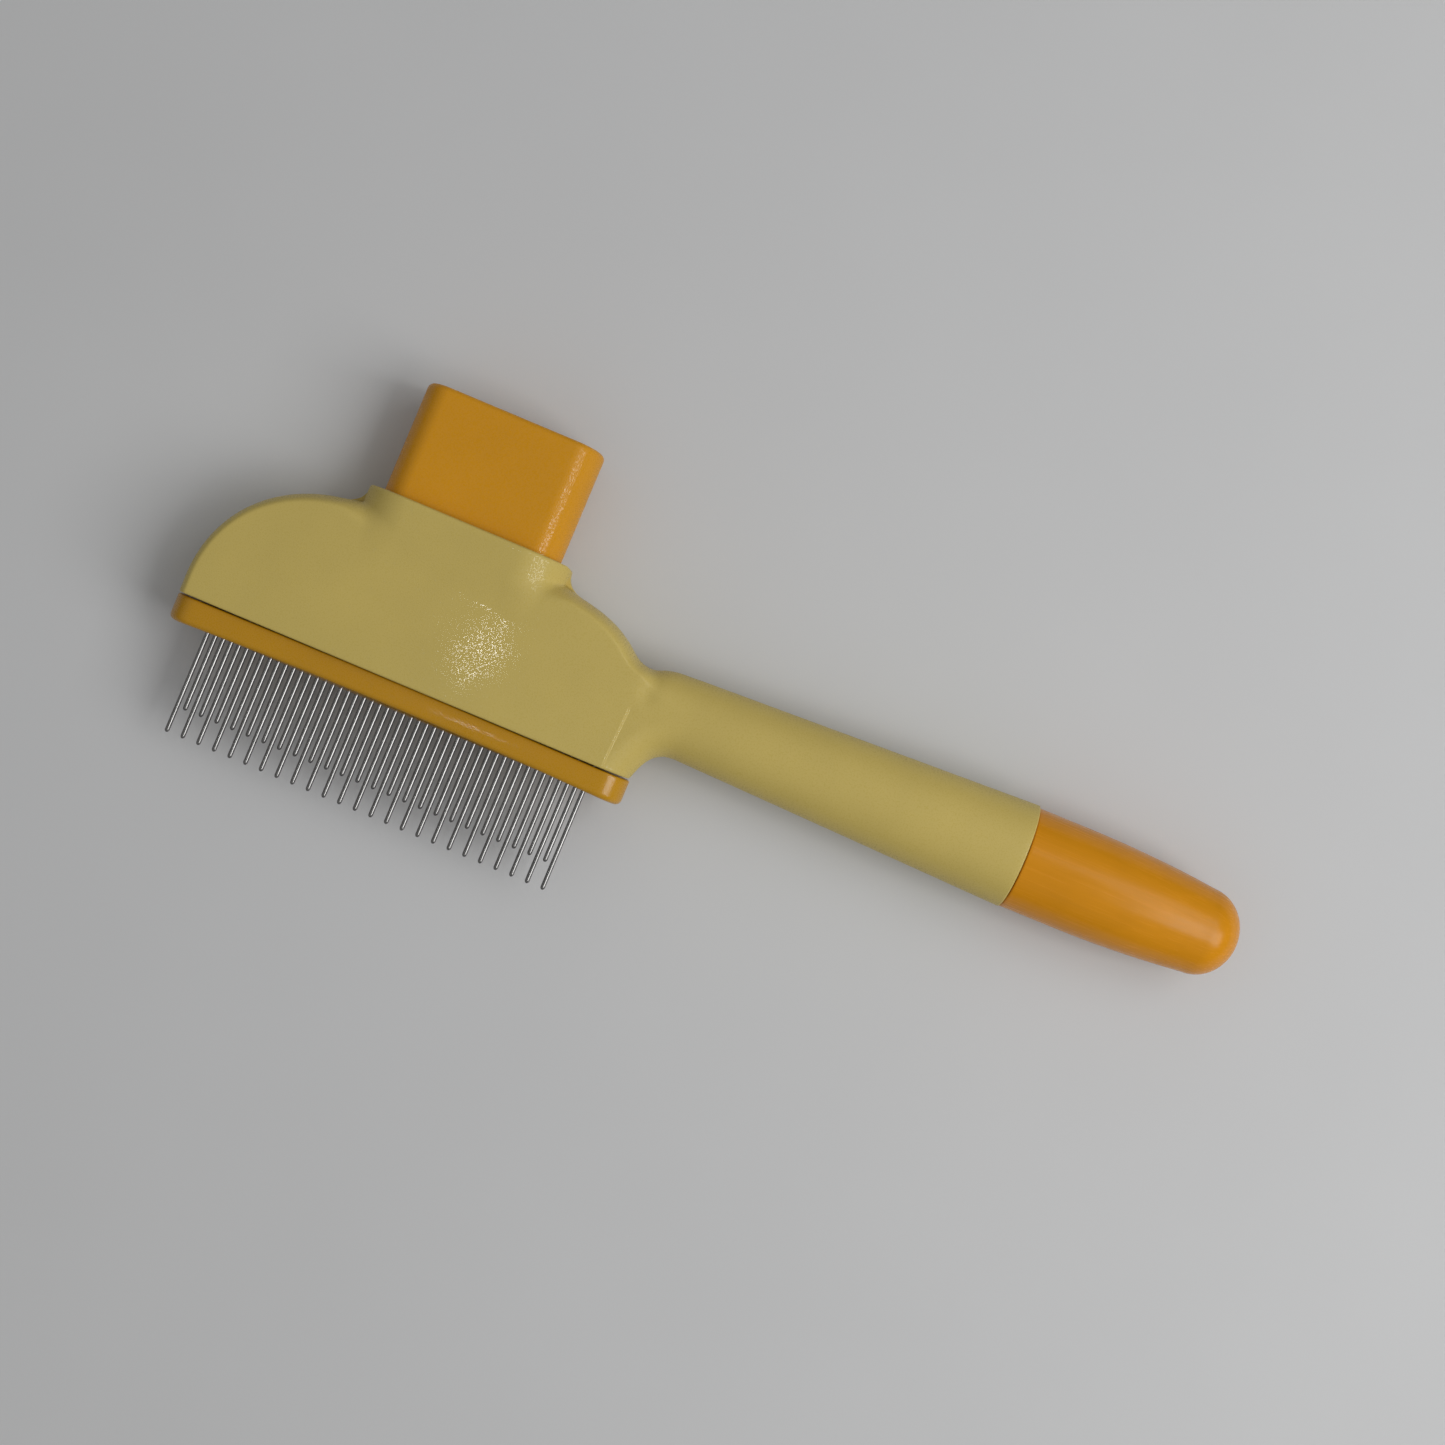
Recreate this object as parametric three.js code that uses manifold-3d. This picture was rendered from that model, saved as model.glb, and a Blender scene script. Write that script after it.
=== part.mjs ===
// Self-cleaning deshedding comb. A row of long and short steel pins stands on the lower side of a wide hollow
// head. A thumb button on top of the head is joined, through a frame inside it, to a bar that slides down the
// pins and strips the hair off. Two springs bring the bar back.
//
// Millimetres. X runs along the handle, Y runs from the pins to the button, and Z is up from the surface
// that the tool lies on. The dimensions below count X and Y from the middle of the head, on the handle's
// axis. At the end the whole tool is moved so that the origin is under the middle of its box.
import * as THREE from "three";
import { mergeVertices } from "three/addons/utils/BufferGeometryUtils.js";
import Module from "manifold-3d";

const wasm = await Module();
wasm.setup();

// Driving dimensions.
const MID = 10.75;                 // height of the plane where the two shells meet
const PARTING_GAP = 0.1;           // between the two shells
const FIT_GAP = 0.05;              // between pieces that touch
const RUNNING_GAP = 0.3;           // around pieces that slide

const HEAD_HALF_LENGTH = 48;
const FLARE_FOOT_X = 47.8;         // where the lower edge turns up towards the handle
const HEAD_BOTTOM = -15.4;
const HEAD_EDGE_HALF_THICKNESS = 8.0;   // along the head's lower edge
const HEAD_RISE = 0.05;            // how much thicker the head gets for each millimetre towards the button
const HEAD_CROWN = 0.6;            // how much thinner the head is at its two ends
const HEAD_EDGE_ROUND = 2.4;       // width of the rounded band along the head's edge
const SHELL_LIP = 0.8;             // straight wall at the parting plane

const SHOULDER = new THREE.Vector2(25.5, 13.85);  // where the arch meets the collar's fillet
const COLLAR_TOP = 18.4;
const COLLAR_HALF_WIDTH = 21.6;
const COLLAR_HALF_THICKNESS = 11.35;    // the rest face cuts this down to MID next to the rim
const COLLAR_END_ROUND = 10;
const COLLAR_LEAN = 0.14;          // how much thinner the collar gets for each millimetre away from its rim
const COLLAR_SINK = 0.015;         // curves the collar down into the head below this height
const COLLAR_SINK_START_Y = 12;
const COLLAR_RIM_ROUND = 0.8;
const COLLAR_CREST_BLEND = 0.8;    // width of the fillet between collar and wings, in the middle
const COLLAR_FILLET = 2.2;         // and at the collar's two ends

const NECK_LOW = new THREE.Vector2(43.5, 6.35);
const NECK_START_X = 42;           // the flat head starts to turn into the handle
const NECK_END_X = 56;             // from here on the handle is round
const CREASE_X = 42.2;             // crease across the lower half of the neck, at the head's lower edge
const CREASE_LEAN = 0.5;           // how far its upper end is from there
const NECK_STEP = 0.25;            // depth of the crease
const NECK_VALLEY = 0.45;          // depth of the dip across the upper half of the neck
const NECK_VALLEY_X = 45.2;
const FLARE_ROUND = 6.3;

const HANDLE_START_X = 54.6;
const HANDLE_END_X = 124.6;
const HANDLE_TOP_START = 8.05;
const HANDLE_TOP_END = 11.14;
const HANDLE_LOW_START = -8.47;
const HANDLE_LOW_END = -10.34;
const HANDLE_BORE_WALL = 2;

const CAP_END_X = 171.1;
const CAP_DROP = 0.15;             // how far the cap sits below the handle's axis
const CAP_RADIUS = 10.46;
const CAP_STRAIGHT_X = 136;
const CAP_DOME_X = 163.2;
const CAP_DOME_RADIUS = 8.88;
const CAP_WALL = 1.8;
const CAP_SPIGOT_RADIUS = 7.7;
const CAP_SPIGOT_LENGTH = 9;

const BUTTON_TOP = 41.6;
const BUTTON_SKIRT = 17.0;         // lower edge of the button's full-size part, just inside the collar
const BUTTON_HALF_WIDTH = 18.8;
const BUTTON_HALF_THICKNESS = 7.7;
const BUTTON_END_ROUND = 5.5;
const BUTTON_WALL = 1.5;
const BUTTON_EDGE_ROUND = 1.2;

const TRAVEL = 18;                 // of the button and the bar
const LEG_INNER = 3.7;             // half the distance between the frame's two legs
const LEG_THICKNESS = 1.8;
const LEG_HALF_WIDTH = 13;
const SPRING_SEAT = 24;            // underside of the plate that joins the legs
const SEAT_THICKNESS = 2;

const BAR_HALF_LENGTH = 48.25;
const BAR_CENTRE_X = -0.2;
const BAR_TOP = -15.5;
const BAR_HEIGHT = 4.8;
const BAR_HALF_THICKNESS = 6;
const BAR_DRAFT = 0.03;            // how much thinner the bar gets for each millimetre below its top
const BAR_END_ROUND = 5;
const BAR_TOP_BOW = 0.3;           // how far the ends of the bar's upper edge hang below its middle
const BAR_LOW_BOW = 0.9;           // and of its lower edge
const BAR_EDGE_ROUND = 0.8;

const PIN_PITCH = 1.68;
const PIN_COUNT = 49;
const PIN_RADIUS = 0.48;
const PIN_ROOT = -9.5;
const LONG_PIN_TIP = -42.4;
const SHORT_PIN_TIP = -37.1;
const PIN_SIDES = 8;

const CARRIER_TOP = -8;
const CARRIER_BOTTOM = -14.6;
const CARRIER_HALF_LENGTH = 45;
const CARRIER_HALF_THICKNESS = 3.2;

const SPRING_X = 9.5;
const SPRING_RADIUS = 2.7;         // of the wire's centre line
const SPRING_WIRE_RADIUS = 0.4;
const SPRING_TURNS = 8;

const CAVITY_HALF_THICKNESS = 6;
const CAVITY_HALF_LENGTH = 42.5;
const CAVITY_TOP = 10;

// The plan outline of both shells, as an upper edge and a lower edge that both run from the head's free end
// to the end of the handle.
function upperEdge() {
  const path = new THREE.Path();
  path.moveTo(-HEAD_HALF_LENGTH, -12);
  path.bezierCurveTo(-HEAD_HALF_LENGTH, 2, -38.2, 11.75, -SHOULDER.x, SHOULDER.y);
  path.quadraticCurveTo(-22.1, 14.5, -COLLAR_HALF_WIDTH, 17.2);
  path.quadraticCurveTo(-COLLAR_HALF_WIDTH + 0.2, COLLAR_TOP, -20.2, COLLAR_TOP);
  path.lineTo(20.2, COLLAR_TOP);
  path.quadraticCurveTo(COLLAR_HALF_WIDTH - 0.2, COLLAR_TOP, COLLAR_HALF_WIDTH, 17.2);
  path.quadraticCurveTo(22.1, 14.5, SHOULDER.x, SHOULDER.y);
  path.bezierCurveTo(30.2, 12.95, 34.2, 12.2, 39.1, 8.1);
  path.quadraticCurveTo(41.1, NECK_LOW.y, NECK_LOW.x, NECK_LOW.y);
  path.bezierCurveTo(45.5, NECK_LOW.y, 45.8, 7.65, 50.2, 7.8);
  path.lineTo(HANDLE_START_X, HANDLE_TOP_START);
  path.lineTo(HANDLE_END_X, HANDLE_TOP_END);
  return path;
}

function lowerEdge() {
  const path = new THREE.Path();
  path.moveTo(-HEAD_HALF_LENGTH, HEAD_BOTTOM);
  path.lineTo(FLARE_FOOT_X, HEAD_BOTTOM);
  path.bezierCurveTo(48.8, -12.2, 49.9, -8.5, HANDLE_START_X, HANDLE_LOW_START);
  path.lineTo(HANDLE_END_X, HANDLE_LOW_END);
  return path;
}

// The wings' edge as it would run on under the collar.
function archUnderCollar(x) {
  const t = x / SHOULDER.x;
  return SHOULDER.y + 3.1 * (1 - t * t);
}

// Points along a path, close together on its curves, with its long lines cut into pieces.
function sample(path, longest) {
  const stepsByType = { CubicBezierCurve: 8, QuadraticBezierCurve: 3 };
  const points = [];
  for (const curve of path.curves) {
    const steps = stepsByType[curve.type] ?? Math.ceil(curve.getLength() / longest);
    for (let i = 0; i < steps; i += 1) {
      points.push(curve.getPoint(i / steps));
    }
  }
  points.push(path.curves.at(-1).getPoint(1));
  return points;
}

const UPPER = sample(upperEdge(), 25);
const LOWER = sample(lowerEdge(), 200);
const LOWER_FREE = LOWER.filter((p) => p.x > FLARE_FOOT_X - 0.01);

function heightOnEdge(points, x) {
  for (let i = 1; i < points.length; i += 1) {
    const a = points[i - 1];
    const b = points[i];
    if (x <= b.x && b.x > a.x) {
      return THREE.MathUtils.lerp(a.y, b.y, (x - a.x) / (b.x - a.x));
    }
  }
  return points.at(-1).y;
}

function distanceToEdge(points, x, y) {
  let nearest = Infinity;
  for (let i = 1; i < points.length; i += 1) {
    const a = points[i - 1];
    const b = points[i];
    const dx = b.x - a.x;
    const dy = b.y - a.y;
    const along = ((x - a.x) * dx + (y - a.y) * dy) / (dx * dx + dy * dy);
    const t = THREE.MathUtils.clamp(along, 0, 1);
    nearest = Math.min(nearest, Math.hypot(x - a.x - t * dx, y - a.y - t * dy));
  }
  return nearest;
}

// A quarter of an ellipse: 0 on the edge, 1 from one radius inwards.
function roundEdge(distance, radius) {
  const t = THREE.MathUtils.clamp(distance / radius, 0, 1);
  return Math.sqrt(1 - (1 - t) * (1 - t));
}

// The higher of two surfaces, with a fillet where they are less than its width apart.
function filleted(a, b, width) {
  const near = Math.max(width - Math.abs(a - b), 0) / width;
  return Math.max(a, b) + (near * near * width) / 4;
}

function handleRadius(x) {
  return (heightOnEdge(UPPER, x) - heightOnEdge(LOWER, x)) / 2;
}

function handleCentre(x) {
  return (heightOnEdge(UPPER, x) + heightOnEdge(LOWER, x)) / 2;
}

const HANDLE_TILT = Math.atan2(
  handleCentre(HANDLE_END_X) - handleCentre(HANDLE_START_X),
  HANDLE_END_X - HANDLE_START_X,
);

// Height of the head's face and of the handle above the parting plane, without their rounded edges.
function faceHeight(x, y, toHandle) {
  const smooth = THREE.MathUtils.smoothstep;
  const ends = Math.min(Math.abs(x) / HEAD_HALF_LENGTH, 1);
  const head = HEAD_EDGE_HALF_THICKNESS + HEAD_RISE * (y - HEAD_BOTTOM) - HEAD_CROWN * ends * ends;
  const low = 1 - smooth(y, -4, -1);
  const crease = CREASE_X + CREASE_LEAN * smooth(y, HEAD_BOTTOM, -1);
  const step = NECK_STEP * low * smooth(x, crease, crease + 0.35) * (1 - toHandle);
  const valley = NECK_VALLEY * Math.exp(-(((x - NECK_VALLEY_X) / 1.9) ** 2)) * smooth(y, -2.5, 2.5);
  const rod = handleRadius(Math.max(x, HANDLE_START_X));
  return THREE.MathUtils.lerp(head - step - valley, rod, toHandle);
}

// Width of the rounded band along the edge.
function edgeRound(x, y, toHandle) {
  const { lerp, smoothstep, clamp } = THREE.MathUtils;
  if (x < SHOULDER.x) {
    return lerp(6, HEAD_EDGE_ROUND, smoothstep(Math.abs(x), 16, SHOULDER.x));
  }
  const low = 1 - smoothstep(y, -4, -1);
  const shoulder = lerp(HEAD_EDGE_ROUND, FLARE_ROUND, smoothstep(x, 42, 50));
  const flare = clamp((x - CREASE_X) * 30, HEAD_EDGE_ROUND, FLARE_ROUND);
  const rod = handleRadius(Math.max(x, HANDLE_START_X));
  return lerp(lerp(shoulder, flare, low), rod, toHandle);
}

// Height of the shell's outside above the parting plane.
function shellHeight(x, y) {
  const { lerp, smoothstep } = THREE.MathUtils;
  const side = Math.abs(x);
  const leftWall = x + HEAD_HALF_LENGTH;
  const edge = Math.min(distanceToEdge(UPPER, x, y), distanceToEdge(LOWER_FREE, x, y), leftWall);
  const inside = side < SHOULDER.x ? Math.min(leftWall, archUnderCollar(x) - y) : edge;
  const toHandle = smoothstep(x, NECK_START_X, NECK_END_X);
  const face = faceHeight(x, y, toHandle) - SHELL_LIP;
  const wing = SHELL_LIP + face * roundEdge(inside, edgeRound(x, y, toHandle));
  if (side >= SHOULDER.x) {
    return wing;
  }
  const rim = COLLAR_RIM_ROUND * (1 - roundEdge(COLLAR_TOP - y, COLLAR_RIM_ROUND));
  const sink = COLLAR_SINK * Math.max(COLLAR_SINK_START_Y - y, 0) ** 2;
  const crest = COLLAR_HALF_THICKNESS - COLLAR_LEAN * (COLLAR_TOP - y) - sink - SHELL_LIP;
  const collar = SHELL_LIP + crest * roundEdge(COLLAR_HALF_WIDTH - side, COLLAR_END_ROUND) - rim;
  const fillet = lerp(COLLAR_CREST_BLEND, COLLAR_FILLET, smoothstep(side, 10, 19));
  const ending = 1 - smoothstep(side, SHOULDER.x - 2, SHOULDER.x);
  return Math.min(filleted(wing, collar, Math.max(fillet * ending, 0.01)), MID);
}

// Closed solids from three.js geometry and back.
function solid(geometry) {
  const bare = geometry.clone();
  bare.deleteAttribute("normal");
  bare.deleteAttribute("uv");
  const merged = mergeVertices(bare, 1e-5);
  return new wasm.Manifold(new wasm.Mesh({
    numProp: 3,
    vertProperties: new Float32Array(merged.attributes.position.array),
    triVerts: new Uint32Array(merged.index.array),
  }));
}

function geometryOf(manifold) {
  const mesh = manifold.getMesh();
  const geometry = new THREE.BufferGeometry();
  geometry.setAttribute("position", new THREE.BufferAttribute(mesh.vertProperties, 3));
  geometry.setIndex(new THREE.BufferAttribute(mesh.triVerts, 1));
  return geometry;
}

function box(low, high) {
  const size = new THREE.Vector3().subVectors(high, low);
  const centre = new THREE.Vector3().addVectors(low, high).multiplyScalar(0.5);
  return solid(new THREE.BoxGeometry(size.x, size.y, size.z).translate(centre.x, centre.y, centre.z));
}

// A rectangle with rounded ends, in X and Z, as a shape to be extruded along Y.
function stadium(halfWidth, halfThickness, endRound, steps = 6) {
  const shape = new THREE.Shape();
  const points = [];
  for (const [sideX, sideZ] of [[1, -1], [1, 1], [-1, 1], [-1, -1]]) {
    for (let i = 0; i <= steps; i += 1) {
      const t = sideX * sideZ > 0 ? i / steps : 1 - i / steps;
      const angle = (t * Math.PI) / 2;
      const x = halfWidth - endRound + endRound * Math.cos(angle);
      const z = halfThickness * Math.sin(angle);
      points.push(new THREE.Vector2(sideX * x, sideZ * z));
    }
  }
  const kept = points.filter((p, i) => i === 0 || p.distanceTo(points[i - 1]) > 1e-6);
  if (kept[0].distanceTo(kept.at(-1)) < 1e-6) {
    kept.pop();
  }
  shape.setFromPoints(kept);
  return shape;
}

// Extrudes a shape of X and Z along Y, from low to high.
function alongY(shape, low, high, options = {}) {
  const geometry = new THREE.ExtrudeGeometry(shape, {
    depth: high - low,
    bevelEnabled: false,
    ...options,
  });
  geometry.rotateX(-Math.PI / 2);
  return geometry.translate(0, low, MID);
}

// One half of the outer shell, above the parting plane and solid.
function shellBlock() {
  const columns = 13;
  const stations = [...UPPER, ...LOWER.slice(1)]
    .map((p) => p.x)
    .concat([CREASE_X, CREASE_X + CREASE_LEAN, NECK_VALLEY_X, -15, -10, 10, 15])
    .sort((a, b) => a - b)
    .filter((x, i, all) => i === 0 || x - all[i - 1] > 0.12);
  const floor = MID + PARTING_GAP / 2;
  const vertices = [];
  const faces = [];
  for (const x of stations) {
    const low = heightOnEdge(LOWER, x);
    const high = x === stations[0] ? -12 : heightOnEdge(UPPER, x);
    for (let j = 0; j <= columns; j += 1) {
      const y = low + ((high - low) * (1 - Math.cos((Math.PI * j) / columns))) / 2;
      vertices.push(x, y, MID + shellHeight(x, y));
      vertices.push(x, y, floor);
    }
  }
  const at = (i, j, layer) => (i * (columns + 1) + j) * 2 + layer;
  const last = stations.length - 1;
  const quad = (a, b, c, d) => faces.push(a, b, c, a, c, d);
  for (let i = 0; i < last; i += 1) {
    for (let j = 0; j < columns; j += 1) {
      quad(at(i, j, 0), at(i + 1, j, 0), at(i + 1, j + 1, 0), at(i, j + 1, 0));
      quad(at(i, j, 1), at(i, j + 1, 1), at(i + 1, j + 1, 1), at(i + 1, j, 1));
    }
    quad(at(i, 0, 1), at(i + 1, 0, 1), at(i + 1, 0, 0), at(i, 0, 0));
    quad(at(i, columns, 0), at(i + 1, columns, 0), at(i + 1, columns, 1), at(i, columns, 1));
  }
  for (let j = 0; j < columns; j += 1) {
    quad(at(0, j, 0), at(0, j + 1, 0), at(0, j + 1, 1), at(0, j, 1));
    quad(at(last, j, 1), at(last, j + 1, 1), at(last, j + 1, 0), at(last, j, 0));
  }
  const geometry = new THREE.BufferGeometry();
  geometry.setAttribute("position", new THREE.Float32BufferAttribute(vertices, 3));
  geometry.setIndex(faces);
  return solid(geometry);
}

// What is cut out of each half: the space in the wings, the slots that hold the pin carrier, the well that
// the button slides in, and the bore of the handle.
function shellHollow() {
  const low = HEAD_BOTTOM - 5;
  const reach = CAVITY_HALF_LENGTH;
  const wings = new THREE.Shape();
  wings.moveTo(-reach, low);
  wings.lineTo(-reach, -6);
  wings.quadraticCurveTo(-reach + 2, 6.5, -24, CAVITY_TOP);
  wings.lineTo(24, CAVITY_TOP);
  wings.quadraticCurveTo(35, 7.5, 40, 2);
  wings.lineTo(reach, -4);
  wings.lineTo(reach, low);
  const depth = 2 * CAVITY_HALF_THICKNESS;
  const wingSpace = new THREE.ExtrudeGeometry(wings, { depth, bevelEnabled: false, curveSegments: 5 });
  wingSpace.translate(0, 0, MID - CAVITY_HALF_THICKNESS);

  const slots = box(
    new THREE.Vector3(-CARRIER_HALF_LENGTH - FIT_GAP, CARRIER_BOTTOM, MID - CARRIER_HALF_THICKNESS - FIT_GAP),
    new THREE.Vector3(
      CARRIER_HALF_LENGTH + FIT_GAP,
      CARRIER_TOP + FIT_GAP,
      MID + CARRIER_HALF_THICKNESS + FIT_GAP,
    ),
  );

  const well = alongY(
    stadium(BUTTON_HALF_WIDTH + RUNNING_GAP, BUTTON_HALF_THICKNESS + RUNNING_GAP, BUTTON_END_ROUND),
    BUTTON_SKIRT - TRAVEL - 0.6,
    COLLAR_TOP + 5,
  );

  const start = HEAD_HALF_LENGTH - 6;
  const end = HANDLE_END_X + 1;
  const boreStart = handleRadius(HANDLE_START_X) - HANDLE_BORE_WALL - 0.4;
  const boreEnd = handleRadius(HANDLE_END_X) - HANDLE_BORE_WALL;
  const bore = new THREE.CylinderGeometry(boreEnd, boreStart, end - start, 20, 1);
  bore.rotateZ(-Math.PI / 2);
  bore.rotateZ(HANDLE_TILT);
  const middle = (start + end) / 2;
  bore.translate(middle, handleCentre(HANDLE_START_X) + HANDLE_TILT * (middle - HANDLE_START_X), MID);
  return solid(wingSpace).add(slots).add(solid(well)).add(solid(bore));
}

const FRONT_SHELL = shellBlock().subtract(shellHollow());

function frontShell() {
  return geometryOf(FRONT_SHELL);
}

function rearShell() {
  return geometryOf(FRONT_SHELL.translate([0, 0, -MID]).mirror([0, 0, 1]).translate([0, 0, MID]));
}

// The cap is turned about the handle's axis. Its spigot goes into the handle's bore.
function endCap() {
  const length = CAP_END_X - HANDLE_END_X;
  const straight = CAP_STRAIGHT_X - HANDLE_END_X;
  const dome = CAP_DOME_X - HANDLE_END_X;
  const outside = [[CAP_RADIUS - 0.3, 0.15], [CAP_RADIUS, 0.45], [CAP_RADIUS, straight]];
  for (let i = 1; i <= 4; i += 1) {
    const t = i / 4;
    outside.push([CAP_RADIUS - (CAP_RADIUS - CAP_DOME_RADIUS) * t * t, straight + (dome - straight) * t]);
  }
  for (let i = 1; i < 6; i += 1) {
    const angle = (i / 6) * (Math.PI / 2);
    outside.push([CAP_DOME_RADIUS * Math.cos(angle), dome + (length - dome) * Math.sin(angle)]);
  }
  outside.push([0, length]);
  const bore = CAP_SPIGOT_RADIUS - CAP_WALL;
  const inside = [
    [0, dome],
    [bore, dome - 6],
    [bore, -CAP_SPIGOT_LENGTH],
    [CAP_SPIGOT_RADIUS, -CAP_SPIGOT_LENGTH],
    [CAP_SPIGOT_RADIUS, 0.15],
  ];
  const profile = [...inside, ...outside].map(([r, y]) => new THREE.Vector2(r, y));
  return new THREE.LatheGeometry(profile, 28);
}

// A hollow button, open below.
function pushButton() {
  const shape = stadium(BUTTON_HALF_WIDTH, BUTTON_HALF_THICKNESS, BUTTON_END_ROUND);
  const skirt = alongY(shape, BUTTON_SKIRT, BUTTON_TOP - BUTTON_EDGE_ROUND);
  const crown = alongY(
    stadium(
      BUTTON_HALF_WIDTH - BUTTON_EDGE_ROUND,
      BUTTON_HALF_THICKNESS - BUTTON_EDGE_ROUND,
      BUTTON_END_ROUND - BUTTON_EDGE_ROUND,
    ),
    BUTTON_TOP - 2 * BUTTON_EDGE_ROUND,
    BUTTON_TOP - BUTTON_EDGE_ROUND,
    { bevelEnabled: true, bevelThickness: BUTTON_EDGE_ROUND, bevelSize: BUTTON_EDGE_ROUND, bevelSegments: 2 },
  );
  const inner = alongY(
    stadium(
      BUTTON_HALF_WIDTH - BUTTON_WALL,
      BUTTON_HALF_THICKNESS - BUTTON_WALL,
      BUTTON_HALF_THICKNESS - BUTTON_WALL,
    ),
    BUTTON_SKIRT - 1,
    BUTTON_TOP - BUTTON_WALL,
  );
  return geometryOf(solid(skirt).add(solid(crown)).subtract(solid(inner)));
}

// Two legs that pass either side of the pin carrier, from the bar up to the button's top, with a plate
// between them that the springs push against.
function pushFrame() {
  const outer = LEG_INNER + LEG_THICKNESS;
  const low = BAR_TOP + FIT_GAP;
  const high = BUTTON_TOP - BUTTON_WALL - FIT_GAP;
  const between = (from, to) => box(
    new THREE.Vector3(-LEG_HALF_WIDTH - 1, from, MID - LEG_INNER),
    new THREE.Vector3(LEG_HALF_WIDTH + 1, to, MID + LEG_INNER),
  );
  const body = box(
    new THREE.Vector3(-LEG_HALF_WIDTH, low, MID - outer),
    new THREE.Vector3(LEG_HALF_WIDTH, high, MID + outer),
  );
  const below = between(low - 1, SPRING_SEAT);
  const above = between(SPRING_SEAT + SEAT_THICKNESS, high + 1);
  return geometryOf(body.subtract(below).subtract(above));
}

function pinX(index) {
  return (index - (PIN_COUNT - 1) / 2) * PIN_PITCH;
}

function pinHoles(radius, low, high) {
  const holes = [];
  for (let i = 0; i < PIN_COUNT; i += 1) {
    const hole = new THREE.CylinderGeometry(radius, radius, high - low, PIN_SIDES);
    hole.translate(pinX(i), (low + high) / 2, MID);
    holes.push(solid(hole));
  }
  return wasm.Manifold.union(holes);
}

// The bar hangs a little lower at its ends than in its middle, and is a little thicker at its top.
function stripperBar() {
  const outline = stadium(
    BAR_HALF_LENGTH - BAR_EDGE_ROUND,
    BAR_HALF_THICKNESS - BAR_EDGE_ROUND,
    BAR_END_ROUND - BAR_EDGE_ROUND,
    5,
  );
  const straight = BAR_HALF_LENGTH - BAR_END_ROUND;
  const points = [];
  const corners = outline.getPoints();
  corners.forEach((p, i) => {
    points.push(p);
    const next = corners[(i + 1) % corners.length];
    const gap = p.distanceTo(next);
    const cuts = gap > straight ? 8 : 1;
    for (let k = 1; k < cuts; k += 1) {
      points.push(p.clone().lerp(next, k / cuts));
    }
  });
  const shape = new THREE.Shape(points);
  const geometry = alongY(shape, BAR_EDGE_ROUND, BAR_HEIGHT - BAR_EDGE_ROUND, {
    bevelEnabled: true,
    bevelThickness: BAR_EDGE_ROUND,
    bevelSize: BAR_EDGE_ROUND,
    bevelSegments: 2,
  });
  geometry.translate(BAR_CENTRE_X, BAR_TOP - BAR_HEIGHT, 0);
  const position = geometry.attributes.position;
  for (let i = 0; i < position.count; i += 1) {
    const along = (position.getX(i) - BAR_CENTRE_X) / BAR_HALF_LENGTH;
    const below = BAR_TOP - position.getY(i);
    const bow = THREE.MathUtils.lerp(BAR_TOP_BOW, BAR_LOW_BOW, below / BAR_HEIGHT);
    const thinned = 1 - (BAR_DRAFT * below) / BAR_HALF_THICKNESS;
    position.setY(i, position.getY(i) - bow * along * along);
    position.setZ(i, MID + (position.getZ(i) - MID) * thinned);
  }
  const holes = pinHoles(PIN_RADIUS + RUNNING_GAP / 2, BAR_TOP - BAR_HEIGHT - 3, BAR_TOP + 2);
  return geometryOf(solid(geometry).subtract(holes));
}

function pinCarrier() {
  const block = box(
    new THREE.Vector3(-CARRIER_HALF_LENGTH, CARRIER_BOTTOM + FIT_GAP, MID - CARRIER_HALF_THICKNESS),
    new THREE.Vector3(CARRIER_HALF_LENGTH, CARRIER_TOP, MID + CARRIER_HALF_THICKNESS),
  );
  const sockets = pinHoles(PIN_RADIUS + FIT_GAP, CARRIER_BOTTOM - 2, PIN_ROOT + FIT_GAP);
  return geometryOf(block.subtract(sockets));
}

function pin(tip) {
  const profile = [
    new THREE.Vector2(0, tip),
    new THREE.Vector2(PIN_RADIUS * 0.62, tip + PIN_RADIUS * 0.3),
    new THREE.Vector2(PIN_RADIUS, tip + PIN_RADIUS),
    new THREE.Vector2(PIN_RADIUS, PIN_ROOT),
    new THREE.Vector2(0, PIN_ROOT),
  ];
  return new THREE.LatheGeometry(profile, PIN_SIDES);
}

// A compression spring along Y, between the carrier and the frame's plate.
class Helix extends THREE.Curve {
  constructor(low, high) {
    super();
    this.low = low;
    this.high = high;
  }

  getPoint(t, target = new THREE.Vector3()) {
    const angle = t * SPRING_TURNS * 2 * Math.PI;
    const y = THREE.MathUtils.lerp(this.low, this.high, t);
    return target.set(SPRING_RADIUS * Math.cos(angle), y, SPRING_RADIUS * Math.sin(angle));
  }
}

function returnSpring() {
  const margin = SPRING_WIRE_RADIUS + 0.15;
  const path = new Helix(CARRIER_TOP + margin, SPRING_SEAT - margin);
  const wire = new THREE.Shape();
  wire.absarc(0, 0, SPRING_WIRE_RADIUS, 0, 2 * Math.PI);
  return new THREE.ExtrudeGeometry(wire, {
    steps: SPRING_TURNS * 8,
    curveSegments: 3,
    bevelEnabled: false,
    extrudePath: path,
  });
}

const COLOURS = {
  pale: 0xe2d096,
  orange: 0xd98a1e,
  cap: 0xe0941f,
  steel: 0xb9bbbd,
};

function material(color, roughness, metalness) {
  return new THREE.MeshStandardMaterial({ color, roughness, metalness });
}

function add(group, name, geometry, finish) {
  const mesh = new THREE.Mesh(geometry, finish);
  mesh.name = name;
  group.add(mesh);
  return mesh;
}

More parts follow.
